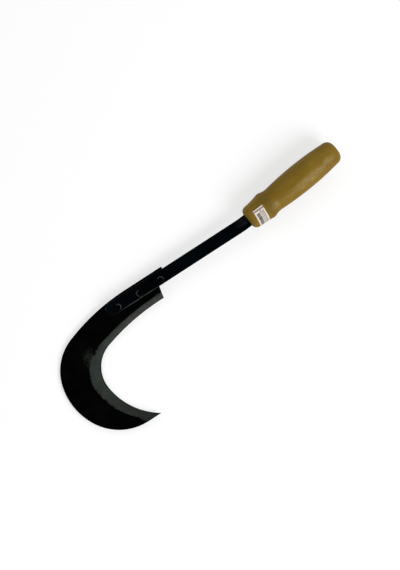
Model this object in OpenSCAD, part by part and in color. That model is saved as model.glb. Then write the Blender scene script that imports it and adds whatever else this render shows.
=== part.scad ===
/* [Blade] */
// Thickness of the blade's flat steel
blade_thick = 2.8; // [2.4:0.1:4]
// How much bigger or smaller than 1 the whole crescent is drawn
crescent = 1; // [0.8:0.01:1.25]
// Width of the ground band where it starts at the heel
grind_w = 7.2; // [5:0.1:8]
// Flat that the wheel leaves along the cutting edge
edge_land = 0.4; // [0.3:0.1:0.8]
// How far the spine stands above the upper edge of the bar
spine_step = 2.8; // [1:0.1:5]

/* [Bar] */
// Width of the flat bar
bar_w = 16; // [14:0.5:20]
// Thickness of the flat bar
bar_thick = 5; // [4:0.5:6.5]
// Bare straight length of the bar, from the blade's end to the bend
bar_bare = 102.9; // [65:0.1:155]
// Sideways bend of the bar just before the handle, in degrees
bar_bend = 6.1; // [3:0.1:10]
// Length of the tapered tang inside the handle
tang_len = 95; // [60:1:110]

/* [Rivets] */
// Diameter of the rivets' shanks
rivet_d = 5; // [4:0.5:6]
// Distance from one rivet to the next
rivet_pitch = 30.3; // [24:0.1:34]
// Diameter of the rivets' heads
head_d = 8.2; // [7.5:0.1:9]
// Height of the rivets' heads
head_h = 1.3; // [1.2:0.1:2.5]

/* [Handle] */
// Radius of the long swell that fills the hand, which sets the handle's length
swell_r = 400; // [340:5:480]
// Width of the paper label along the handle
label_w = 14.5; // [8:0.5:15]
// How far round the handle the label goes, in degrees
label_wrap = 130; // [90:5:170]
// How far askew the label is stuck, in degrees
label_askew = 6.7; // [0:0.1:8]

/* [Hidden] */
$fn = 96;
// Steps in a full turn for the long arcs, whose radii are large
arc_fn = 256;
// Drawing aids: how far a cutting shape runs past what it cuts, and how far two drawn shapes lap
past = 1;
lap = 0.2;
// More than the handle's radius, and more than a run of arcs bulges out of its chord
handle_room = 30;
arc_room = 20;

// Fits: play round a rivet, round the tang, behind the handle's front, and under the label
rivet_gap = 0.05;
tang_gap = 0.15;
shoulder_gap = 0.1;
glue = 0.1;
label_thick = 0.2;
// Where the label's middle lies along the handle, and where its upper end starts, in degrees round it
label_at = 15.1;
label_start = 166;

// From the bar's lower edge to the middle of each rivet, so that they sit a little below its middle
rivet_edge = 5.8;
// Countersink in the blade's back that the rivet's tail is hammered into
sink_h = 1.4;
sink_d = rivet_d + 1.8;
// Head: its rounded rim stands on a low straight wall, and its top is dished
head_wall = 0.2;
rim_r = head_h - head_wall;
dish_r = 6.8;
dish_h = 0.3;

// Bar: chamfer of its long edges, the middle of its rounded far end, and its bend
// Places along the bar are measured from the first rivet, towards the handle
bar_edge = 0.6;
bar_tail = -2 * rivet_pitch - 7.4;
bend_r = 140;
bar_z = blade_thick + bar_thick / 2;
// Tang: it starts inside the bar, whose end makes the shoulders against the handle
tang_root = 3;
tang_w = bar_w - 5;
tang_tip_w = 4;
tang_thick = bar_thick - 1.4;
tang_tip_thick = 2;

// Crescent: the tab's end, its lower side just inside the bar's edge, and the heel's square cut
tab_end = 8.9;
tab_low = lap - bar_w / 2;
spine_y = bar_w / 2 + spine_step;
bend_x = tab_end + bar_bare;
heel_top = [-5.7, tab_low];
heel = [-8.8, -22.6];
heel_turn = 178.86;
// Ground beyond the heel, so that the arcs run off the steel
run_in = 6;
// A curve is a list of arcs, each with its radius and how many degrees it turns
spine_arcs = sized([[260, 19.5], [61, 54.7], [77.4, 44], [65.3, 61.3], [2000, 1.2]]);
edge_arcs = sized([[277.4, 18.05 + run_in], [40.1, 79.1], [82, 83]]);
// Where the ground band ends on the face: it turns with the edge on other radii, so the band widens
grind_arcs = sized([[319, 18.05 + run_in], [42.4, 79.1], [87, 83]]);
spine_flat = 52.4 * crescent;
// Steel that the spine's arcs are filled to, the clearing in front of the edge's arcs, and how far
// in front of the edge the plain shape that clears the rest of the hook stays
steel_deep = 58 * crescent;
clear_deep = 36 * crescent;
hook_in = 5;
// How far the grinding cones reach over the steel and in front of the edge
grind_over = 25;
grind_out = 40;
rise = blade_thick - edge_land;

// Handle, from the middle of its butt round to its front
dome = [44, 10];
butt_corner = [8.8, 73.3];
swell = [swell_r, 12.5];
neck = [-22.4, -25.9];
bead = [9.6, 32.3];
flare = [-102, -10.7];
front_corner = [6.7, 88.5];
grip_arcs = [dome, butt_corner, swell, neck, bead, flare, front_corner];
// Depth that its arcs are filled to over a plain core, and the little that is faced off the front
skin = 5;
front_trim = 0.02;

// Direction to the right of a heading
function right(h) = [sin(h), -cos(h)];
function last(list) = list[len(list) - 1];
// The blade's arcs at the crescent's size
function sized(arcs) = [for (arc = arcs) [crescent * arc[0], arc[1]]];
// Stations where the arcs of a curve meet: a point, the heading there, and the next arc's centre
function run(p, h, arcs, i = 0) =
  i == len(arcs) ? [[p, h, p]] :
  let (c = p - arcs[i][0] * right(h), turned = h + arcs[i][1])
    concat([[p, h, c]], run(c + arcs[i][0] * right(turned), turned, arcs, i + 1));
// The part of a value that is whole steps, with less than two steps left over
function coarse(v, step) = (floor(v / step) - 1) * step;

spine = run([tab_end - spine_flat, spine_y], 180, spine_arcs);
edge_from = heel - edge_arcs[0][0] * right(heel_turn);
edge = run(edge_from + edge_arcs[0][0] * right(heel_turn - run_in), heel_turn - run_in, edge_arcs);
grind_from = heel + (grind_w - grind_arcs[0][0]) * right(heel_turn);
grind = run(grind_from + grind_arcs[0][0] * right(heel_turn - run_in), heel_turn - run_in, grind_arcs);
grip = run([0, 0], 90, grip_arcs);
grip_len = -last(grip)[0][0];

// The sickle lies on the handle's bead and the outside of the crescent, which tips it by two small turns
lie_roll = -0.69;
lie_pitch = -2.25;
// Brings the middle of the whole over the origin, and the points that it lies on down to the table
shift = [-45.215, 53.964, 6.08];

// Moves to a point in two steps, a coarse and a fine one, so that arcs that touch do meet
module at(p) {
  whole = [for (v = p) coarse(v, 0.01)];
  translate(whole) translate(p - whole) children();
}

// Slants a solid by so much across for each millimetre up, in the same two steps
module slant(by) {
  whole = [for (v = by) coarse(v, 0.1)];
  fine = by - whole;
  multmatrix([[1, 0, whole[0], 0], [0, 1, whole[1], 0], [0, 0, 1, 0]])
    multmatrix([[1, 0, fine[0], 0], [0, 1, fine[1], 0], [0, 0, 1, 0]]) children();
}

// One arc of a curve with the material on its left, as deep as asked; a negative radius is hollow
module filled_arc(from, to, r, deep) {
  a_right = right(from[1]);
  b_right = right(to[1]);
  a_in = from[0] - deep * a_right;
  b_in = to[0] - deep * b_right;
  a_out = from[0] + arc_room * a_right;
  b_out = to[0] + arc_room * b_right;
  chord = to[0] - from[0];
  crown = from[0] + chord / 2 + (norm(chord) / 2 + arc_room) * right((from[1] + to[1]) / 2);
  if (r > 0)
    intersection() {
      at(from[2]) circle(r, $fn = arc_fn);
      polygon([a_in, b_in, b_out, crown, a_out]);
    }
  else
    difference() {
      polygon([a_out, b_out, b_in, a_in]);
      at(from[2]) circle(-r, $fn = arc_fn);
    }
}

module filled_run(stations, arcs, deep) {
  for (i = [0:len(arcs) - 1]) filled_arc(stations[i], stations[i + 1], arcs[i][0], deep);
}

// Flat outline of the blade: spine, tip, cutting edge, heel and tab
module crescent_outline() {
  low = last(edge)[0][1] - arc_room;
  clear_x = tab_end + arc_room;
  difference() {
    union() {
      filled_run(spine, spine_arcs, steel_deep);
      translate([spine[0][0][0], spine_y - steel_deep]) square([spine_flat, steel_deep]);
    }
    filled_run(edge, edge_arcs, clear_deep);
    // The open side of the hook, from the tab and the heel's cut round inside the edge
    polygon([[clear_x, tab_low], heel_top, 1.5 * heel - 0.5 * heel_top,
      for (i = [1:len(edge_arcs)]) edge[i][0] - hook_in * right(edge[i][1]),
      [last(edge)[0][0], low], [clear_x, low]]);
  }
}

// Steel that the wheel takes off along one arc: a slanted cone from the edge up to the grind line
module ground_away(i) {
  a = edge[i][0];
  b = edge[i + 1][0];
  a_up = (grind[i][0] - a) / norm(grind[i][0] - a);
  b_up = (grind[i + 1][0] - b) / norm(grind[i + 1][0] - b);
  crown = (a + b) / 2 + (norm(b - a) / 2 + grind_out) * right((edge[i][1] + edge[i + 1][1]) / 2);
  half = (grind_arcs[i][0] - edge_arcs[i][0]) / 2;
  intersection() {
    translate([0, 0, -blade_thick]) linear_extrude(3 * blade_thick)
      polygon([a - grind_over * a_up, b - grind_over * b_up, b + grind_out * b_up, crown,
        a + grind_out * a_up]);
    at([edge[i][2][0], edge[i][2][1], edge_land])
      slant((grind[i][2] - edge[i][2]) / rise)
        translate([0, 0, -rise / 2])
          cylinder(r1 = edge_arcs[i][0] - half, r2 = grind_arcs[i][0] + half, h = 2 * rise, $fn = arc_fn);
  }
}

module at_rivet(i) {
  translate([-(i - 1) * rivet_pitch, rivet_edge - bar_w / 2, 0]) children();
}

// Room for a rivet: its shank and its countersunk tail
module rivet_hole(i) {
  at_rivet(i) {
    translate([0, 0, -past]) cylinder(d = rivet_d + 2 * rivet_gap, h = blade_thick + bar_thick + 2 * past);
    translate([0, 0, -sink_h])
      cylinder(d1 = 2 * sink_d - rivet_d + 2 * rivet_gap, d2 = rivet_d + 2 * rivet_gap, h = 2 * sink_h);
  }
}

// Half of the bar's section, from its middle line out to its chamfered edge
module bar_half() {
  w = bar_w / 2;
  t = bar_thick / 2;
  polygon([[0, -t], [w - bar_edge, -t], [w, bar_edge - t], [w, t - bar_edge], [w - bar_edge, t], [0, t]]);
}

module bar_section() {
  bar_half();
  mirror([1, 0]) bar_half();
}

// Lies along the handle's axis, from the middle of its mouth
module in_handle() {
  translate([bend_x + bend_r * sin(bar_bend), bend_r * (1 - cos(bar_bend)), bar_z])
    rotate([0, 0, bar_bend]) children();
}

// Tang with its shoulders, grown all round by a clearance
module tang(gap) {
  far = tang_len + gap;
  intersection() {
    translate([0, 0, -bar_w]) linear_extrude(2 * bar_w)
      polygon([[-tang_root, -tang_w / 2 - gap], [far, -tang_tip_w / 2 - gap],
        [far, tang_tip_w / 2 + gap], [-tang_root, tang_w / 2 + gap]]);
    rotate([90, 0, 0]) translate([0, 0, -bar_w]) linear_extrude(2 * bar_w)
      polygon([[-tang_root, -tang_thick / 2 - gap], [far, -tang_tip_thick / 2 - gap],
        [far, tang_tip_thick / 2 + gap], [-tang_root, tang_thick / 2 + gap]]);
  }
}

// Half of the handle's turned section, with its axis along the first direction and its front at zero
module grip_half() {
  front = last(grip)[0];
  translate([grip_len, 0])
    difference() {
      union() {
        filled_run(grip, grip_arcs, skin);
        // The solid core under the skin
        polygon([[-skin, 0], for (i = [1:len(grip_arcs) - 1]) grip[i][0] - skin * right(grip[i][1]),
          front + [-past, lap], [front[0] - past, 0]]);
      }
      // The front is faced off square
      translate([front[0] + front_trim - handle_room, -past]) square(handle_room);
    }
}

// Turns a half section that is drawn along the axis into a solid along the axis
module turned(angle = 360, start = 0) {
  rotate([0, 90, 0]) rotate([0, 0, start]) rotate_extrude(angle = angle) mirror([1, -1]) children();
}

// Puts a finished piece in its place in the assembly as it lies on the table
module laid_down() {
  translate(shift) rotate([lie_roll, lie_pitch, 0]) children();
}

module blade() {
  color("dimgray") laid_down()
    difference() {
      linear_extrude(blade_thick) crescent_outline();
      for (i = [0:2]) ground_away(i);
      for (i = [1:3]) rivet_hole(i);
    }
}

module shank_bar() {
  color("slategray") laid_down()
    difference() {
      union() {
        translate([bar_tail, 0, bar_z]) rotate([0, 0, 90]) rotate_extrude(angle = 180) bar_half();
        translate([bar_tail, 0, bar_z]) rotate([90, 0, 90]) linear_extrude(bend_x - bar_tail) bar_section();
        translate([bend_x, bend_r, bar_z]) rotate([0, 0, -90]) rotate_extrude(angle = bar_bend)
          translate([bend_r, 0]) bar_section();
        in_handle() tang(0);
      }
      for (i = [1:3]) rivet_hole(i);
    }
}

module rivet(i) {
  top = blade_thick + bar_thick;
  color("black") laid_down() at_rivet(i) {
    cylinder(d = rivet_d, h = top);
    cylinder(d1 = sink_d, d2 = rivet_d, h = sink_h);
    translate([0, 0, top])
      rotate_extrude()
        difference() {
          union() {
            square([head_d / 2 - rim_r, head_h]);
            square([head_d / 2, head_h - rim_r]);
            intersection() {
              translate([head_d / 2 - rim_r, head_h - rim_r]) circle(rim_r);
              translate([head_d / 2 - rim_r, 0]) square([rim_r, head_h]);
            }
          }
          translate([0, head_h + dish_r - dish_h]) circle(dish_r);
        }
  }
}

module handle() {
  color("goldenrod") laid_down()
    in_handle()
      difference() {
        translate([shoulder_gap, 0, 0]) turned() grip_half();
        tang(tang_gap);
      }
}

module paper_label() {
  // Centre of the flare's hollow arc, the last but one, counted from the handle's front
  hub = grip[len(grip_arcs) - 2][2] + [grip_len + shoulder_gap, 0];
  middle = label_start + label_wrap / 2;
  color("white") laid_down()
    in_handle()
      intersection() {
        // A shell over the flare, as thick as the paper
        turned()
          difference() {
            intersection() {
              translate([label_at - label_w, 0]) square([2 * label_w, handle_room]);
              translate(hub) circle(-flare[0] - glue);
            }
            translate(hub) circle(-flare[0] - glue - label_thick);
          }
        // The sheet's outline, turned about its own middle
        translate([label_at, 0, 0]) rotate(-label_askew, [0, sin(middle), -cos(middle)])
          translate([-label_w / 2, 0, 0]) turned(label_wrap, label_start) square([label_w, handle_room]);
      }
}

blade();
shank_bar();
rivet(1);  // rivet_1
rivet(2);  // rivet_2
rivet(3);  // rivet_3
handle();
paper_label();
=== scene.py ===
import math

import bmesh
import bpy
from mathutils import Euler, Matrix, Vector


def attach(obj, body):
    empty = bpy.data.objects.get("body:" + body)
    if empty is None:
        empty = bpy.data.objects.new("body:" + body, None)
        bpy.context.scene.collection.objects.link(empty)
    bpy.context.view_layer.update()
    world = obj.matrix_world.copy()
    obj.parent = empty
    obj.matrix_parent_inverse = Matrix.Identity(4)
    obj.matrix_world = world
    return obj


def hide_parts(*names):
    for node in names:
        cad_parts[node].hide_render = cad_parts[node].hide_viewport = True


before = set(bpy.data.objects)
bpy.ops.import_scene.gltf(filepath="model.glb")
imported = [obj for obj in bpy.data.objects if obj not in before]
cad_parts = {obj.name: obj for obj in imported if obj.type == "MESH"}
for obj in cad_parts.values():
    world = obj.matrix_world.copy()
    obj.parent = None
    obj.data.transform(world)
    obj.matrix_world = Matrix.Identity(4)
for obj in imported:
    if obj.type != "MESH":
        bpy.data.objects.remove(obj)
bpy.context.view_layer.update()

# Blade
# A crescent cut out of 2.8 mm steel and stoved black on both faces, then ground on a wheel along its
# inner edge, which leaves a bare band there. Its tab lies under the bar, held by the three rivets.
BLADE_THICK = 2.8
EDGE_LAND = 0.4
EDGE_BREAK = 0.00025
# The upward share of a face's normal: the bevel's, and the most that an upright face has
BEVEL_LEAN = (0.9, 0.995)
UPRIGHT = 0.2
# A corner that turns more than this is a real one, and looks sharp
SHARP = math.radians(40)
# The rivets: how far apart, how far below the bar's middle line, and the room round each
RIVET_PITCH = 30.3
RIVET_SIDE = -2.2
RIVET_ROOM = 5.0
# The point that the wheel's marks point to, and the way from it at which their width is measured
HOOK_MIDDLE = (-70.0, -42.0)
HOOK_RADIUS = 45.0
# Marks on the blade: middle, half length and half width in millimetres, and how far turned in degrees
SCUFF = ((-123.5, -35.0), (15.0, 9.5), 57)
RUN_OUTS = [((-106.8, -131.8), (8.5, 4.0), -48), ((-13.6, -15.6), (6.5, 2.2), 0)]
PAINT_CHIPS = [
    ((-115.0, -33.8), (3.6, 2.2), 30), ((-109.5, -29.7), (3.0, 2.0), 60),
    ((-127.5, -40.5), (2.6, 2.0), 70)]

# The sickle is drawn flat, with x along the bar from the first rivet and z up from the blade's back,
# and laid down with its handle's bead and the outside of the crescent on the table, as in the part
LIE_TURN = Euler((math.radians(-0.69), math.radians(-2.25), 0))
LIE_MOVE = Vector((-0.045215, 0.053964, 0.00608))
lie = Matrix.Translation(LIE_MOVE) @ LIE_TURN.to_matrix().to_4x4()


def joined_copy(node):
    """The CAD node's shape as one closed mesh in the flat drawing's place, with flat faces whole."""
    solid = bmesh.new()
    solid.from_mesh(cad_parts[node].data)
    bmesh.ops.remove_doubles(solid, verts=solid.verts, dist=1e-6)
    bmesh.ops.transform(solid, matrix=lie.inverted(), verts=solid.verts)
    bmesh.ops.dissolve_limit(
        solid, angle_limit=math.radians(0.05), verts=solid.verts, edges=solid.edges, delimit={"NORMAL"})
    return solid


def by_a_rivet(edge):
    """Whether an edge belongs to a rivet's hole."""
    middle = (edge.verts[0].co + edge.verts[1].co) / 2 * 1000
    return any(
        math.hypot(middle.x + i * RIVET_PITCH, middle.y - RIVET_SIDE) < RIVET_ROOM for i in range(3))


def break_edges(solid, edges, width):
    """Rounds these edges as a file or a tumbling drum does."""
    bmesh.ops.bevel(
        solid, geom=edges, offset=width, offset_type="OFFSET", segments=2, profile=0.5,
        affect="EDGES", clamp_overlap=True, material=-1)


def finished(solid, name, materials, place):
    """Turns the bmesh into the finished piece, riding on the sickle's one body."""
    bmesh.ops.transform(solid, matrix=place, verts=solid.verts)
    mesh = bpy.data.meshes.new(name)
    solid.to_mesh(mesh)
    solid.free()
    for material in materials:
        mesh.materials.append(material)
    mesh.shade_smooth()
    mesh.set_sharp_from_angle(angle=SHARP)
    piece = bpy.data.objects.new(name, mesh)
    bpy.context.scene.collection.objects.link(piece)
    normals = piece.modifiers.new("flat faces stay flat", "WEIGHTED_NORMAL")
    normals.keep_sharp = True
    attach(piece, "root")
    return piece


def linear(code):
    """An sRGB hex colour as the linear colour that a shader takes."""
    parts = [int(code[i:i + 2], 16) / 255 for i in (1, 3, 5)]
    return tuple(c / 12.92 if c <= 0.04045 else ((c + 0.055) / 1.055) ** 2.4 for c in parts) + (1.0,)


def add(tree, kind, inputs, out=0, **settings):
    """Adds a node with its settings, and with values or links for its inputs, and gives its output."""
    node = tree.nodes.new("ShaderNode" + kind)
    for name, value in settings.items():
        setattr(node, name, value)
    for name, value in inputs.items():
        if isinstance(value, bpy.types.NodeSocket):
            tree.links.new(value, node.inputs[name])
        else:
            node.inputs[name].default_value = value
    return node.outputs[out]


def drawing_place(tree):
    """Where a point is on the flat drawing, in millimetres."""
    here = add(tree, "TexCoord", {}, out="Object")
    return add(
        tree, "Mapping",
        {"Vector": here, "Location": LIE_MOVE, "Rotation": LIE_TURN, "Scale": (0.001, 0.001, 0.001)},
        vector_type="TEXTURE")


def blots(tree, place, size, low, high, detail=3.0):
    """A pattern of blots of this size in millimetres: 0 where the noise is low, 1 where it is high."""
    spread = add(tree, "Mapping", {"Vector": place, "Scale": [1 / side for side in size]})
    noise = add(tree, "TexNoise", {"Vector": spread, "Scale": 1.0, "Detail": detail, "Roughness": 0.6})
    return add(tree, "MapRange", {0: noise, 1: low, 2: high}, interpolation_type="SMOOTHSTEP")


def patch(tree, place, mark):
    """1 in the middle of an oval mark on the drawing, fading to 0 at its rim."""
    middle, radii, turn = mark
    own = add(
        tree, "Mapping",
        {"Vector": place, "Location": (*middle, 0), "Rotation": (0, 0, math.radians(turn)),
         "Scale": (*radii, 1000)},
        vector_type="TEXTURE")
    away = add(tree, "VectorMath", {0: own}, out="Value", operation="LENGTH")
    return add(tree, "MapRange", {0: away, 1: 0.2, 2: 1.0, 3: 1.0, 4: 0.0}, interpolation_type="SMOOTHSTEP")


def patches(tree, place, marks):
    """1 in the middle of each of these marks, and 0 outside them all."""
    within = 0.0
    for mark in marks:
        within = add(tree, "Math", {0: patch(tree, place, mark), 1: within}, operation="MAXIMUM")
    return within


def stove_paint(name, dark, light, pale_steel, pale_marks_of):
    """Black stoving paint on steel: satin, a little uneven from the dip, pale dull steel where the given
    mask is high: rubbed paint, which on the bar and rivets is also a painted highlight.
    """
    material = bpy.data.materials.new(name)
    material.use_nodes = True
    tree = material.node_tree
    shader = tree.nodes["Principled BSDF"]
    place = drawing_place(tree)
    marked_pale = pale_marks_of(tree, place)
    cloud = blots(tree, place, (28, 28, 28), 0.35, 0.7)
    black = add(tree, "Mix", {0: cloud, 6: linear(dark), 7: linear(light)}, out=2, data_type="RGBA")
    lightened = add(tree, "Mix", {0: marked_pale, 6: black, 7: linear(pale_steel)}, out=2, data_type="RGBA")
    tree.links.new(lightened, shader.inputs["Base Color"])
    metal = add(tree, "Math", {0: marked_pale, 1: 0.7}, operation="MULTIPLY")
    tree.links.new(metal, shader.inputs["Metallic"])
    # Satin paint, with hazier clouds about a centimetre wide
    haze = blots(tree, place, (9, 9, 9), 0.3, 0.75)
    rough = add(tree, "MapRange", {0: haze, 3: 0.27, 4: 0.34})
    rougher = add(tree, "Math", {0: marked_pale, 1: 0.2, 2: rough}, operation="MULTIPLY_ADD")
    tree.links.new(rougher, shader.inputs["Roughness"])
    shader.inputs["Specular IOR Level"].default_value = 0.05
    # The rolled sheet's slow waves, and the paint's orange peel of about a millimetre
    waves = blots(tree, place, (22, 22, 22), 0.0, 1.0, detail=1.0)
    peel = blots(tree, place, (1.1, 1.1, 1.1), 0.0, 1.0, detail=2.0)
    surface = add(tree, "Math", {0: waves, 1: 5.0, 2: peel}, operation="MULTIPLY_ADD")
    height = add(tree, "Math", {0: marked_pale, 1: -0.8, 2: surface}, operation="MULTIPLY_ADD")
    bump = add(tree, "Bump", {"Height": height, "Distance": 0.00002, "Strength": 1.0})
    tree.links.new(bump, shader.inputs["Normal"])
    return material


def blade_wear(tree, place):
    """A scuffed patch of curly marks by the band, stray specks, and where the wheel ran past the band."""
    curls = blots(tree, place, (2.6, 2.6, 2.6), 0.42, 0.58, detail=4.0)
    scuffed = add(tree, "Math", {0: curls, 1: patch(tree, place, SCUFF)}, operation="MULTIPLY")
    specks = blots(tree, place, (5, 5, 5), 0.76, 0.82, detail=5.0)
    faint = add(tree, "Math", {0: specks, 1: 0.4}, operation="MULTIPLY")
    marks = add(tree, "Math", {0: scuffed, 1: faint}, operation="MAXIMUM")
    # The wheel has run out over the flat face beside the tip and at the heel, up to a torn rim
    torn = blots(tree, place, (2.6, 2.6, 2.6), 0.25, 0.75, detail=5.0)
    ragged = add(
        tree, "Math", {0: torn, 1: 0.3, 2: patches(tree, place, RUN_OUTS)}, operation="MULTIPLY_ADD")
    pale_steel = add(tree, "MapRange", {0: ragged, 1: 0.5, 2: 0.65}, interpolation_type="SMOOTHSTEP")
    return add(tree, "Math", {0: pale_steel, 1: marks}, operation="MAXIMUM")


def ground_steel():
    """Steel off a coarse wheel, dulled by the air: dark grey-green and matt, with marks across the band."""
    material = bpy.data.materials.new("wheel_ground_steel")
    material.use_nodes = True
    tree = material.node_tree
    shader = tree.nodes["Principled BSDF"]
    place = drawing_place(tree)
    # The marks run across the band, so they follow the angle round the middle of the hook
    own = add(tree, "Mapping", {"Vector": place, "Location": (*HOOK_MIDDLE, 0)}, vector_type="TEXTURE")
    x, y, z = add(tree, "SeparateXYZ", {0: own}, out=slice(3))
    angle = add(tree, "Math", {0: y, 1: x}, operation="ARCTAN2")
    round_way = add(tree, "Math", {0: angle, 1: HOOK_RADIUS}, operation="MULTIPLY")
    out_way = add(tree, "VectorMath", {0: own}, out="Value", operation="LENGTH")
    band_place = add(tree, "CombineXYZ", {0: round_way, 1: out_way})
    # Real wheel marks are 0.1 mm apart; they are drawn at 0.5 mm, so that they show
    marks = blots(tree, band_place, (0.5, 14.0, 1.0), 0.25, 0.75, detail=4.0)
    bright = add(
        tree, "Mix", {0: marks, 6: linear("#2E342E"), 7: linear("#383D37")}, out=2, data_type="RGBA")
    # The wheel has heated the thin upper part in places, which has turned it browner
    heat = blots(tree, band_place, (7.0, 40.0, 1.0), 0.5, 0.7, detail=1.0)
    upper = add(tree, "MapRange", {0: y, 1: -15.0, 2: 15.0}, interpolation_type="SMOOTHSTEP")
    heated = add(tree, "Math", {0: heat, 1: upper}, operation="MULTIPLY")
    steel = add(tree, "Mix", {0: heated, 6: bright, 7: linear("#363330")}, out=2, data_type="RGBA")
    stain = blots(tree, place, (11, 11, 11), 0.35, 0.75, detail=4.0)
    stained = add(tree, "Mix", {0: stain, 6: steel, 7: linear("#282C2B")}, out=2, data_type="RGBA")
    # Painted shade: it darkens towards the tip
    tip = add(
        tree, "MapRange", {0: y, 1: -45.0, 2: -90.0, 3: 0.0, 4: 0.7}, interpolation_type="SMOOTHSTEP")
    shaded_to_tip = add(tree, "Mix", {0: tip, 6: stained, 7: linear("#1F231F")}, out=2, data_type="RGBA")
    # Sap has turned the last millimetre before the edge nearly black
    low = add(
        tree, "MapRange", {0: z, 1: EDGE_LAND + 0.15, 2: EDGE_LAND + 0.4, 3: 0.8, 4: 0.0},
        interpolation_type="SMOOTHSTEP")
    sapped = add(tree, "Mix", {0: low, 6: shaded_to_tip, 7: linear("#121512")}, out=2, data_type="RGBA")
    # Paint is left along the torn upper rim of the band, and in a few patches where the scuff meets it
    torn = blots(tree, place, (2.6, 2.6, 2.6), 0.25, 0.75, detail=5.0)
    either_way = add(tree, "Math", {0: torn, 1: 0.6}, operation="SUBTRACT")
    raggedness = add(tree, "MapRange", {0: y, 1: 10.0, 2: -50.0, 3: 0.4, 4: 1.2})
    level = add(tree, "Math", {0: either_way, 1: raggedness, 2: z}, operation="MULTIPLY_ADD")
    kept = patches(tree, place, PAINT_CHIPS)
    with_kept = add(tree, "Math", {0: kept, 1: BLADE_THICK, 2: level}, operation="MULTIPLY_ADD")
    paint = add(
        tree, "MapRange", {0: with_kept, 1: BLADE_THICK - 0.16, 2: BLADE_THICK - 0.06},
        interpolation_type="SMOOTHSTEP")
    painted = add(tree, "Mix", {0: paint, 6: sapped, 7: linear("#050605")}, out=2, data_type="RGBA")
    tree.links.new(painted, shader.inputs["Base Color"])
    # Half of the light comes back off the grey oxide, and half off the metal
    metal = add(tree, "MapRange", {0: paint, 3: 0.5, 4: 0.0})
    tree.links.new(metal, shader.inputs["Metallic"])
    rough = add(tree, "MapRange", {0: marks, 3: 0.5, 4: 0.64})
    rough_or_paint = add(tree, "Mix", {0: paint, 2: rough, 3: 0.3})
    tree.links.new(rough_or_paint, shader.inputs["Roughness"])
    shader.inputs["Specular IOR Level"].default_value = 0.3
    height = add(tree, "Math", {0: marks, 1: paint})
    bump = add(tree, "Bump", {"Height": height, "Distance": 0.00003, "Strength": 1.0})
    tree.links.new(bump, shader.inputs["Normal"])
    return material


blade = joined_copy("blade")
for face in blade.faces:
    face.material_index = 1 if BEVEL_LEAN[0] < face.normal.z < BEVEL_LEAN[1] else 0
# The cutting edge itself stays sharp, and every other corner of the outline is broken
land_top = 1.5 * EDGE_LAND / 1000
land = {
    f for f in blade.faces if abs(f.normal.z) < UPRIGHT and max(v.co.z for v in f.verts) < land_top}
corners = [
    e for e in blade.edges
    if e.calc_face_angle(0) > SHARP and not by_a_rivet(e) and land.isdisjoint(e.link_faces)]
break_edges(blade, corners, EDGE_BREAK)
blade_paint = stove_paint("stoved_black_blade", "#010101", "#030403", "#2B302B", blade_wear)
blade_piece = finished(blade, "painted_blade", [blade_paint, ground_steel()], lie)
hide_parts("blade")

# Shank bar
# A 16 x 5 mm flat bar of mild steel with broken corners and a rounded far end, painted a bluish black.
# It lies on the blade under the rivets' heads, bends a little, and goes into the handle as a tang.
BAR_HALF = 8.0
BAR_TAIL = -68.0
BAR_BREAK = 0.00015
# It bends just before the handle; its corners are broken up to a little short of the mouth
BEND_FROM = 111.8
BEND_LONG = 15.0
BROKEN_BEND = 0.85
# Where the bar is rubbed: along its lower edge and round its far end, where the grey is also a painted
# highlight, and in front of the handle's mouth
LOWER_RUB_AND_HIGHLIGHT = ((-32.0, -8.0), (33.0, 4.0), 0)
TAIL_RUB_AND_HIGHLIGHT = ((-75.0, 2.5), (4.0, 6.0), 0)
MOUTH_RUB = ((121.0, 3.2), (15.0, 7.0), 0)


def bar_wear_and_highlights(tree, place):
    """Paint rubbed off the chamfer where the hand and the whetstone pass, and thin by the handle; the grey
    along the lower edge and round the far end is also a painted highlight.
    """
    # Distance out from the bar's middle line, and round its far end from the end's own middle
    x, y = add(tree, "SeparateXYZ", {0: place}, out=slice(2))
    beyond = add(tree, "Math", {0: x, 1: -BAR_TAIL})
    tail_x = add(tree, "Math", {0: beyond, 1: 0.0}, operation="MINIMUM")
    own = add(tree, "CombineXYZ", {0: tail_x, 1: y})
    out_way = add(tree, "VectorMath", {0: own}, out="Value", operation="LENGTH")
    rim = add(
        tree, "MapRange", {0: out_way, 1: BAR_HALF - 1.1, 2: BAR_HALF - 0.6},
        interpolation_type="SMOOTHSTEP")
    streaks = blots(tree, place, (14, 3, 3), 0.25, 0.45, detail=4.0)
    lower = add(tree, "Math", {0: streaks, 1: patch(tree, place, LOWER_RUB_AND_HIGHLIGHT)}, operation="MULTIPLY")
    spots = blots(tree, place, (2.6, 2.6, 2.6), 0.5, 0.62)
    tail = add(tree, "Math", {0: spots, 1: patch(tree, place, TAIL_RUB_AND_HIGHLIGHT)}, operation="MULTIPLY")
    both = add(tree, "Math", {0: lower, 1: tail}, operation="MAXIMUM")
    along = add(tree, "Math", {0: rim, 1: both}, operation="MULTIPLY")
    smears = blots(tree, place, (12.0, 5.0, 5.0), 0.3, 0.8, detail=5.0)
    thin = add(tree, "Math", {0: smears, 1: patch(tree, place, MOUTH_RUB)}, operation="MULTIPLY")
    thinner = add(tree, "Math", {0: thin, 1: 0.5}, operation="MULTIPLY")
    return add(tree, "Math", {0: along, 1: thinner}, operation="MAXIMUM")


bar = joined_copy("shank_bar")
before_mouth = (BEND_FROM + BROKEN_BEND * BEND_LONG) / 1000
seen = [
    e for e in bar.edges
    if e.calc_face_angle(0) > SHARP and not by_a_rivet(e)
    and max(v.co.x for v in e.verts) < before_mouth]
break_edges(bar, seen, BAR_BREAK)
# The grey along the bar's lower edge and round its far end is rubbed paint and a painted highlight
bar_paint = stove_paint("stoved_black_bar", "#010204", "#03070B", "#434344", bar_wear_and_highlights)
bar_piece = finished(bar, "flat_bar_with_tang", [bar_paint], lie)
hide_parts("shank_bar")

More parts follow.
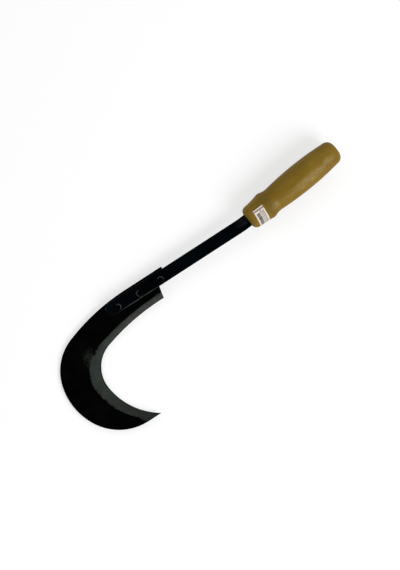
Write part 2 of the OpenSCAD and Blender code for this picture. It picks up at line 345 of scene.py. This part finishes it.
# Rivets
# Three 5 mm steel rivets with low, lightly dished heads, set before painting, so they are black too.
# Their tails are hammered flush into the blade's back; the heads' rims are rubbed grey in places, and that
# grey ring is also a painted highlight.

# From this far out the grey of rubbed paint and painted highlight is fullest on a head's rounded rim
RIM_FROM = 3.3
# The side on which each head's grey ring of rubbed paint and painted highlight is open, in degrees from the
# way to the handle
OPEN_SIDES = {1: -123, 2: -20, 3: -168}


def rivet_ring_wear_and_highlight(number):
    """One rivet head's grey ring along its rim, open on one side: rubbed paint and a painted highlight."""
    def pale_marks_of(tree, place):
        middle = (-(number - 1) * RIVET_PITCH, RIVET_SIDE, 0)
        own = add(
            tree, "Mapping",
            {"Vector": place, "Location": middle, "Rotation": (0, 0, math.radians(OPEN_SIDES[number])),
             "Scale": (1, 1, 1000)},
            vector_type="TEXTURE")
        out_way = add(tree, "VectorMath", {0: own}, out="Value", operation="LENGTH")
        ring = add(
            tree, "MapRange", {0: out_way, 1: RIM_FROM - 0.9, 2: RIM_FROM},
            interpolation_type="SMOOTHSTEP")
        open_way = add(tree, "SeparateXYZ", {0: own})
        share = add(tree, "Math", {0: open_way, 1: out_way}, operation="DIVIDE")
        closed = add(
            tree, "MapRange", {0: share, 1: -0.6, 2: 0.15, 3: 1.0, 4: 0.0},
            interpolation_type="SMOOTHSTEP")
        broken = blots(tree, place, (4, 4, 4), 0.2, 0.5)
        lightened = add(tree, "Math", {0: ring, 1: closed}, operation="MULTIPLY")
        return add(tree, "Math", {0: lightened, 1: broken}, operation="MULTIPLY")
    return pale_marks_of


for number in OPEN_SIDES:
    rivet = joined_copy(f"rivet_{number}")
    # The grey ring on each head is rubbed paint and a painted highlight
    rivet_paint = stove_paint(
        f"stoved_black_rivet_{number}", "#010101", "#030404", "#3C3E3E", rivet_ring_wear_and_highlight(number))
    rivet_piece = finished(rivet, f"set_rivet_{number}", [rivet_paint], lie)
    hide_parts(f"rivet_{number}")

# Handle
# One piece of beech turned on a lathe, with a flared front, a bead, a neck and a long swell, and
# brushed with an ochre varnish. The bar's tang is driven into a tapered slot in its front.

# The middle of its mouth on the drawing, its turn, and the gap between its front and the bar
MOUTH = (126.677, 0.793, 5.3)
BEND = math.radians(6.1)
FRONT = 0.1
# Radius and turn of each arc, from the middle of the butt to the front; a minus is a hollow
TURNED_ARCS = [(44, 10), (8.8, 73.3), (400, 12.5), (-22.4, -25.9), (9.6, 32.3), (-102, -10.7), (6.7, 88.5)]
FLARE_ARC = 5
# How far behind the mouth the darkening on the bead's back is strongest
DARKEST_AT = 31.0
# Steps of the spin round the axis, and the length of a step along the arcs
STEPS_ROUND = 128
ARC_STEP = 1.2
# Painted glints, pale soft patches on the varnish, on the drawing: middle, half length, half width and turn
PAINTED_GLINTS = [
    ((163.5, -2.5), (9.0, 5.5), 25), ((216.0, 2.0), (40.0, 7.5), 8), ((243.0, 7.5), (14.0, 6.0), 15)]
# The slot starts in front of the mouth, and tapers in width and height to its end
SLOT_FROM = -4.0
SLOT_DEEP = 95.15
SLOT_MOUTH = (11.3, 3.9)
SLOT_END = (4.3, 2.3)

hold = lie @ Matrix.Translation(Vector(MOUTH) / 1000) @ Matrix.Rotation(BEND, 4, "Z")


def turned_profile(solid, arcs):
    """Draws the arcs one after another from the origin, heading up, and goes back down to the axis."""
    tip = solid.verts.new((0, 0, 0))
    heading = math.pi / 2
    middles = []
    for radius, degrees in arcs:
        left = Vector((-math.sin(heading), math.cos(heading), 0))
        middle = tip.co + left * radius / 1000
        middles.append(middle)
        steps = max(8, int(abs(radius * math.radians(degrees)) / ARC_STEP))
        drawn = bmesh.ops.spin(
            solid, geom=[tip], cent=middle, axis=(0, 0, 1), angle=math.radians(degrees), steps=steps)
        tip = [v for v in drawn["geom_last"] if isinstance(v, bmesh.types.BMVert)][0]
        heading += math.radians(degrees)
    foot = bmesh.ops.extrude_vert_indiv(solid, verts=[tip])["verts"][0]
    foot.co.y = 0
    return foot.co.x, middles


def ochre_wood():
    """Turned beech under ochre varnish: softly shiny, with faint long grain, darker over the bead, painted
    shade round the mouth and painted glints.
    """
    material = bpy.data.materials.new("varnished_turned_beech")
    material.use_nodes = True
    tree = material.node_tree
    shader = tree.nodes["Principled BSDF"]
    flat = drawing_place(tree)
    place = add(
        tree, "Mapping", {"Vector": flat, "Location": MOUTH, "Rotation": (0, 0, BEND)},
        vector_type="TEXTURE")
    along = add(tree, "SeparateXYZ", {0: place})
    # Varnish brushed on unevenly over the pale wood
    cloud = blots(tree, place, (30, 12, 12), 0.3, 0.7)
    ochre = add(tree, "Mix", {0: cloud, 6: linear("#795E16"), 7: linear("#886C22")}, out=2, data_type="RGBA")
    # Beech has long fibres and short dark flecks, drawn twice as coarse as they are so that they show
    fibres = blots(tree, place, (26, 0.9, 0.9), 0.3, 0.75, detail=5.0)
    fibre_share = add(tree, "Math", {0: fibres, 1: 0.4}, operation="MULTIPLY")
    grained = add(tree, "Mix", {0: fibre_share, 6: ochre, 7: linear("#5E4810")}, out=2, data_type="RGBA")
    flecks = blots(tree, place, (5, 0.55, 0.55), 0.62, 0.75, detail=2.0)
    fleck_share = add(tree, "Math", {0: flecks, 1: 0.3}, operation="MULTIPLY")
    flecked = add(tree, "Mix", {0: fleck_share, 6: grained, 7: linear("#4A390D")}, out=2, data_type="RGBA")
    # Darker in clouds over the bead and the slope behind it, and painted shade round the mouth, where the
    # bar goes in
    off_bead = add(tree, "Math", {0: along, 1: DARKEST_AT}, operation="SUBTRACT")
    bead_way = add(tree, "Math", {0: off_bead}, operation="ABSOLUTE")
    bead = add(
        tree, "MapRange", {0: bead_way, 1: 1.0, 2: 9.0, 3: 1.0, 4: 0.0}, interpolation_type="SMOOTHSTEP")
    mouth_shade = add(
        tree, "MapRange", {0: along, 1: 0.3, 2: 4.0, 3: 1.0, 4: 0.0}, interpolation_type="SMOOTHSTEP")
    bead_or_mouth = add(tree, "Math", {0: bead, 1: mouth_shade}, operation="MAXIMUM")
    patchiness = blots(tree, place, (7, 7, 7), 0.1, 0.9, detail=4.0)
    darkening = add(tree, "Math", {0: bead_or_mouth, 1: patchiness}, operation="MULTIPLY")
    darkening_share = add(tree, "Math", {0: darkening, 1: 0.5}, operation="MULTIPLY")
    darkened = add(tree, "Mix", {0: darkening_share, 6: flecked, 7: linear("#3C2F0C")}, out=2, data_type="RGBA")
    # Painted glints: pale soft patches on the varnish behind the bead and towards the butt
    lightened = patches(tree, flat, PAINTED_GLINTS)
    broken = blots(tree, place, (8, 4, 4), 0.2, 0.75, detail=5.0)
    broken_glints = add(tree, "Math", {0: lightened, 1: broken}, operation="MULTIPLY")
    glint_share = add(tree, "Math", {0: broken_glints, 1: 0.5}, operation="MULTIPLY")
    marked_pale = add(tree, "Mix", {0: glint_share, 6: darkened, 7: linear("#AC9662")}, out=2, data_type="RGBA")
    tree.links.new(marked_pale, shader.inputs["Base Color"])
    rough = add(tree, "MapRange", {0: cloud, 3: 0.5, 4: 0.6})
    tree.links.new(rough, shader.inputs["Roughness"])
    shader.inputs["IOR"].default_value = 1.48
    shader.inputs["Specular IOR Level"].default_value = 0.15
    # Lathe rings about a millimetre apart under the varnish, with the fibres raised by it
    rings = blots(tree, place, (1.1, 60, 60), 0.0, 1.0, detail=2.0)
    relief = add(tree, "Math", {0: rings, 1: 0.7, 2: fibres}, operation="MULTIPLY_ADD")
    bump = add(tree, "Bump", {"Height": relief, "Distance": 0.00006, "Strength": 1.0})
    tree.links.new(bump, shader.inputs["Normal"])
    return material


handle = bmesh.new()
front_x, arc_middles = turned_profile(handle, TURNED_ARCS)
bmesh.ops.spin(
    handle, geom=handle.verts[:] + handle.edges[:], cent=(0, 0, 0), axis=(1, 0, 0),
    angle=math.tau, steps=STEPS_ROUND, use_merge=True)
bmesh.ops.remove_doubles(handle, verts=handle.verts, dist=1e-6)
to_front = Vector((FRONT / 1000 - front_x, 0, 0))
bmesh.ops.translate(handle, vec=to_front, verts=handle.verts)
bmesh.ops.recalc_face_normals(handle, faces=handle.faces)
handle_piece = finished(handle, "turned_handle", [ochre_wood()], hold)

slot = bmesh.new()
bmesh.ops.create_cube(slot, size=1.0)
for corner in slot.verts:
    at_mouth = corner.co.x < 0
    width, height = SLOT_MOUTH if at_mouth else SLOT_END
    corner.co = Vector((
        SLOT_FROM if at_mouth else SLOT_DEEP,
        math.copysign(width / 2, corner.co.y),
        math.copysign(height / 2, corner.co.z))) / 1000
slot_piece = finished(slot, "tang_slot", [], hold)
cut = handle_piece.modifiers.new("slot for the tang", "BOOLEAN")
cut.operation = "DIFFERENCE"
cut.object = slot_piece
bpy.context.view_layer.update()
cut_mesh = bpy.data.meshes.new_from_object(handle_piece.evaluated_get(bpy.context.evaluated_depsgraph_get()))
handle_piece.modifiers.clear()
handle_piece.data = cut_mesh
bpy.data.objects.remove(slot_piece)
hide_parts("handle")

# Paper label
# A strip of white satin paper, stuck round the flared front of the handle. It is bare but for painted shade
# at the fold across its upper end, three grey rules and a block of grey-green bars, which say nothing.

# Its middle along and round the handle, its width and length as drawn, and how far askew it is stuck
LABEL_AT = 14.8
LABEL_MIDDLE = math.radians(141)
LABEL_WIDE = 13.8
LABEL_LONG = 39.7
LABEL_ASKEW = math.radians(5.5)
# The radius that its length is drawn for. The wood's is 15.5 mm there, so the bent paper is 36 mm long
DRAWN_RADIUS = 17.5
# How far the paper stands off the wood, and how thick it is
PAPER_OFF = 0.12
PAPER_THICK = 0.13
# The upper end has come unstuck: how far it stands off, and over what length
LIFT = 0.2
LIFTED = 2.5
# Printed boxes, as shares of the sheet: from and to along its length, and from and to across it
BARS = (0.17, 0.82, 0.15, 0.47)
RULES = [(0.1, 0.7, 0.55, 0.61), (0.15, 0.83, 0.67, 0.73), (0.13, 0.72, 0.78, 0.85)]
# The dark line across the upper end is painted shade along the fold of the lifted end, drawn as a box the
# same way
FOLD_SHADE = (0.05, 0.085, 0.03, 1.0)


def satin_paper():
    """White label paper with a satin face: slightly warm, with dull grey-green print, soft grey soil, and
    painted shade at the fold of its upper end.
    """
    material = bpy.data.materials.new("satin_label_paper")
    material.use_nodes = True
    tree = material.node_tree
    shader = tree.nodes["Principled BSDF"]
    down, across = add(
        tree, "SeparateXYZ", {0: add(tree, "UVMap", {}, uv_map="print")}, out=slice(2))

    def printed_box(down_from, down_to, across_from, across_to):
        """1 inside a printed rectangle, with slightly bled edges."""
        box = 1.0
        for way, low, high, bleed in (
                (down, down_from, down_to, 0.004), (across, across_from, across_to, 0.015)):
            middle, half = (low + high) / 2, (high - low) / 2
            off = add(tree, "Math", {0: way, 1: middle}, operation="SUBTRACT")
            away = add(tree, "Math", {0: off}, operation="ABSOLUTE")
            within = add(
                tree, "MapRange", {0: away, 1: half - bleed, 2: half + bleed, 3: 1.0, 4: 0.0},
                interpolation_type="SMOOTHSTEP")
            box = add(tree, "Math", {0: within, 1: box}, operation="MULTIPLY")
        return box

    # The bars are cut out of one dimension of noise, so that they mean nothing
    beat = add(tree, "TexNoise", {"W": down, "Scale": 55.0, "Detail": 0.0}, noise_dimensions="1D")
    beats = add(tree, "MapRange", {0: beat, 1: 0.36, 2: 0.46}, interpolation_type="SMOOTHSTEP")
    grey_to_black = add(tree, "MapRange", {0: beats, 3: 0.5, 4: 1.0})
    bars = add(tree, "Math", {0: grey_to_black, 1: printed_box(*BARS)}, operation="MULTIPLY")
    rules = 0.0
    for rule in RULES:
        rules = add(tree, "Math", {0: printed_box(*rule), 1: rules}, operation="MAXIMUM")
    # Soil from the hand, in soft clouds
    place = drawing_place(tree)
    darkening = blots(tree, place, (6, 6, 6), 0.35, 0.9, detail=4.0)
    colour = add(tree, "Mix", {0: darkening, 6: linear("#E4D7CE"), 7: linear("#BFB1A3")}, out=2, data_type="RGBA")
    # The last ink is painted shade along the fold of the lifted end
    for print_share, strength, ink in (
            (rules, 0.85, "#5F5A57"), (bars, 0.95, "#353A2C"), (printed_box(*FOLD_SHADE), 0.95, "#4A3C2C")):
        share = add(tree, "Math", {0: print_share, 1: strength}, operation="MULTIPLY")
        colour = add(tree, "Mix", {0: share, 6: colour, 7: linear(ink)}, out=2, data_type="RGBA")
    tree.links.new(colour, shader.inputs["Base Color"])
    shader.inputs["Roughness"].default_value = 0.5
    shader.inputs["Specular IOR Level"].default_value = 0.35
    felt = blots(tree, place, (0.8, 0.8, 0.8), 0.0, 1.0)
    bump = add(tree, "Bump", {"Height": felt, "Distance": 0.00001, "Strength": 1.0})
    tree.links.new(bump, shader.inputs["Normal"])
    return material


label = bmesh.new()
label.loops.layers.uv.new("print")
bmesh.ops.create_grid(
    label, x_segments=64, y_segments=12, size=0.5, matrix=Matrix.Diagonal((LABEL_LONG, LABEL_WIDE, 1, 1)),
    calc_uvs=True)
# It is drawn flat, turned a little askew, and then bent round the flare, which is hollow along the handle
flare_middle = (arc_middles[FLARE_ARC] + to_front) * 1000
under_paper = -TURNED_ARCS[FLARE_ARC][0] - PAPER_OFF
for vert in label.verts:
    lift = max(0.0, 1 - (vert.co.x + LABEL_LONG / 2) / LIFTED) ** 2 * LIFT
    spot = Matrix.Rotation(-LABEL_ASKEW, 2) @ vert.co.xy
    along = LABEL_AT + spot.y
    round_turn = LABEL_MIDDLE + spot.x / DRAWN_RADIUS
    off_axis = flare_middle.y - math.sqrt(under_paper ** 2 - (along - flare_middle.x) ** 2) + lift
    vert.co = Vector((along, off_axis * math.cos(round_turn), off_axis * math.sin(round_turn))) / 1000
label_piece = finished(label, "stuck_label", [satin_paper()], hold)
paper = label_piece.modifiers.new("paper's thickness", "SOLIDIFY")
paper.thickness = PAPER_THICK / 1000
paper.offset = 1
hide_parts("paper_label")

# Floor
# A wide sheet of matt white paper under the sickle, as white as the photograph's ground. It keeps the
# soft shadow that the sickle throws.
FLOOR_SIDE = 12.0
# The share of the white that is its own near the sickle, how far that reaches, and from how far on
# all of it is its own
GLOW = 0.6
SHADOW_WITHIN = 0.45
WHITE_BEYOND = 1.2

white_paper = bpy.data.materials.new("matt_white_ground")
white_paper.use_nodes = True
tree = white_paper.node_tree
shader = tree.nodes["Principled BSDF"]
# To the camera and in gloss it is white, most of that by itself, which leaves the shadow pale. In the
# light that it throws back under the handle it is grey.
camera_ray, glossy_ray, clear_ray = [
    add(tree, "LightPath", {}, out=f"Is {kind} Ray") for kind in ("Camera", "Glossy", "Transmission")]
gloss_or_clear = add(tree, "Math", {0: glossy_ray, 1: clear_ray})
seen_ray = add(tree, "Math", {0: camera_ray, 1: gloss_or_clear}, use_clamp=True)
# Far from the sickle, where the lamps don't reach, all of its white is its own
here = add(tree, "TexCoord", {}, out="Object")
away = add(tree, "VectorMath", {0: here}, out="Value", operation="LENGTH")
far = add(
    tree, "MapRange", {0: away, 1: SHADOW_WITHIN, 2: WHITE_BEYOND}, interpolation_type="SMOOTHSTEP")
lit_colour = add(
    tree, "Mix", {0: far, 6: linear("#AFAFAF"), 7: linear("#000000")}, out=2, data_type="RGBA")
ground_colour = add(
    tree, "Mix", {0: seen_ray, 6: linear("#8C8C8C"), 7: lit_colour}, out=2, data_type="RGBA")
tree.links.new(ground_colour, shader.inputs["Base Color"])
own_white = add(tree, "MapRange", {0: far, 3: GLOW, 4: 1.0})
glow = add(tree, "Math", {0: seen_ray, 1: own_white}, operation="MULTIPLY")
tree.links.new(glow, shader.inputs["Emission Strength"])
shader.inputs["Emission Color"].default_value = (1, 1, 1, 1)
shader.inputs["Roughness"].default_value = 0.9
shader.inputs["Specular IOR Level"].default_value = 0.0
ground = bmesh.new()
bmesh.ops.create_grid(ground, x_segments=1, y_segments=1, size=FLOOR_SIDE / 2)
ground_mesh = bpy.data.meshes.new("white_ground")
ground.to_mesh(ground_mesh)
ground.free()
ground_mesh.materials.append(white_paper)
floor = bpy.data.objects.new("white_ground", ground_mesh)
bpy.context.scene.collection.objects.link(floor)

# Light
# A white room with a dark ceiling, which keeps the black paint black from above, and a large soft
# lamp on the cutting side, which lights the lower half of the handle and the bar's lower edge.

# Each lamp: the way to it, its height in degrees, how far off and how wide in metres, and its watts
LAMPS = [
    ((0.45, -0.89), 42, 1.9, 1.2, 25.0),
    ((0.9, 0.45), 40, 2.1, 1.0, 5.0),
    ((-0.7, 0.72), 38, 2.2, 1.2, 5.0),
]
CEILING_FROM = 0.45
CEILING_FULL = 0.85
CEILING_LIGHT = 0.02

for number, (towards, high, away, wide, watts) in enumerate(LAMPS, 1):
    lamp = bpy.data.lights.new(f"soft_lamp_{number}", "AREA")
    lamp.shape = "DISK"
    lamp.size = wide
    lamp.energy = watts
    lit_from = Vector((*towards, 0)).normalized() * math.cos(math.radians(high))
    lit_from.z = math.sin(math.radians(high))
    lamp_object = bpy.data.objects.new(f"soft_lamp_{number}", lamp)
    lamp_object.location = lit_from * away
    lamp_object.rotation_euler = lit_from.to_track_quat("Z", "Y").to_euler()
    bpy.context.scene.collection.objects.link(lamp_object)

room = bpy.data.worlds.new("white room with a dark ceiling")
room.use_nodes = True
bpy.context.scene.world = room
tree = room.node_tree
way_up = add(tree, "SeparateXYZ", {0: add(tree, "TexCoord", {})}, out="Z")
brightness = add(
    tree, "MapRange", {0: way_up, 1: CEILING_FROM, 2: CEILING_FULL, 3: 1.0, 4: CEILING_LIGHT},
    interpolation_type="SMOOTHSTEP")
tree.links.new(brightness, tree.nodes["Background"].inputs["Strength"])
tree.nodes["Background"].inputs["Color"].default_value = (1, 1, 1, 1)

# Camera
# It looks straight down on the blade's flat, turned so that the bar rises to the right at 33 degrees,
# as in the photograph, from far enough off that the handle isn't drawn larger than the blade.
LENS = 85
SENSOR = 36
# The picture's height at the blade: 570 pixels of 1.2 mm
VIEW_HIGH = 0.684
VIEW_TURN = math.radians(-32.95)
VIEW_MIDDLE = Vector((0.0361, -0.0333, 0.005))

camera_data = bpy.data.cameras.new("camera over the blade")
camera_data.lens = LENS
camera_data.sensor_width = SENSOR
camera = bpy.data.objects.new("camera over the blade", camera_data)
bpy.context.scene.collection.objects.link(camera)
above = Matrix.Translation(VIEW_MIDDLE + Vector((0, 0, VIEW_HIGH * LENS / SENSOR)))
camera.matrix_world = lie @ above @ Matrix.Rotation(VIEW_TURN, 4, "Z")
bpy.context.scene.camera = camera
bpy.context.scene.view_settings.view_transform = "Standard"
